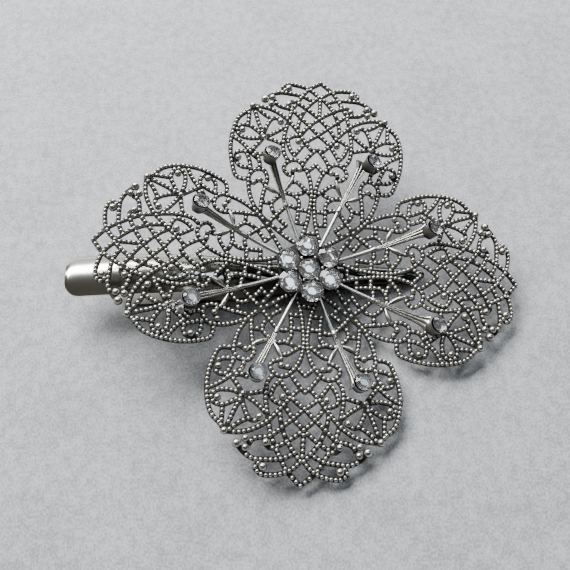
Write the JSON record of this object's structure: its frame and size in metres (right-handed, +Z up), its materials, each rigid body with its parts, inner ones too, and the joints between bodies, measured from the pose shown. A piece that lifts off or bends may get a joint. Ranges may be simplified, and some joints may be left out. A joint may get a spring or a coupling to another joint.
{
  "type": "hair clip",
  "caption": "Sprung metal hair clip with an arched lever and tapered jaw, carrying a large tilted pierced flower with cut stones at its middle and on its stems.",
  "frame": {"origin": "on the clip's flat underside, below the middle of the flower", "axes": "+X towards the jaw tip, +Y across the clip, away from the flower's low petal, +Z up from the underside towards the flower"},
  "size_m": [0.0863, 0.0798, 0.018],
  "materials": {
    "antique_silver": "oxidised silver plate, bright on its raised parts",
    "bright_silver": "polished silver plate",
    "crystal": "clear cut, foiled back",
    "nickel": "nickel plated, finely brushed",
    "spring_steel": "plain drawn wire",
    "solder": "dull"
  },
  "bodies": {
    "lower": {"clip_lower_arm": "nickel", "hinge_pin": "nickel", "clip_spring": "spring_steel"},
    "upper": {"clip_upper_arm": "nickel", "glue_pad": "solder", "filigree_flower": "antique_silver", "cluster_setting": "bright_silver", "cluster_stone_1": "crystal", "cluster_stone_2": "crystal", "cluster_stone_3": "crystal", "cluster_stone_4": "crystal", "cluster_stone_5": "crystal", "cluster_stone_6": "crystal", "cluster_stone_7": "crystal", "stamen_stone_1": "crystal", "stamen_stone_2": "crystal", "stamen_stone_3": "crystal", "stamen_stone_4": "crystal", "stamen_stone_5": "crystal", "stamen_stone_6": "crystal", "stamen_stone_7": "crystal", "stamen_stone_8": "crystal"}
  },
  "joints": [
    {"name": "jaw_hinge", "type": "hinge", "parent": "lower", "child": "upper", "pos_m": [-0.022, 0, 0.004], "axis": [0, -1, 0], "range_deg": [0, 22], "stiffness_Nm_per_rad": 0.08, "springref_deg": -11.46, "deforming": ["clip_spring"]}
  ]
}
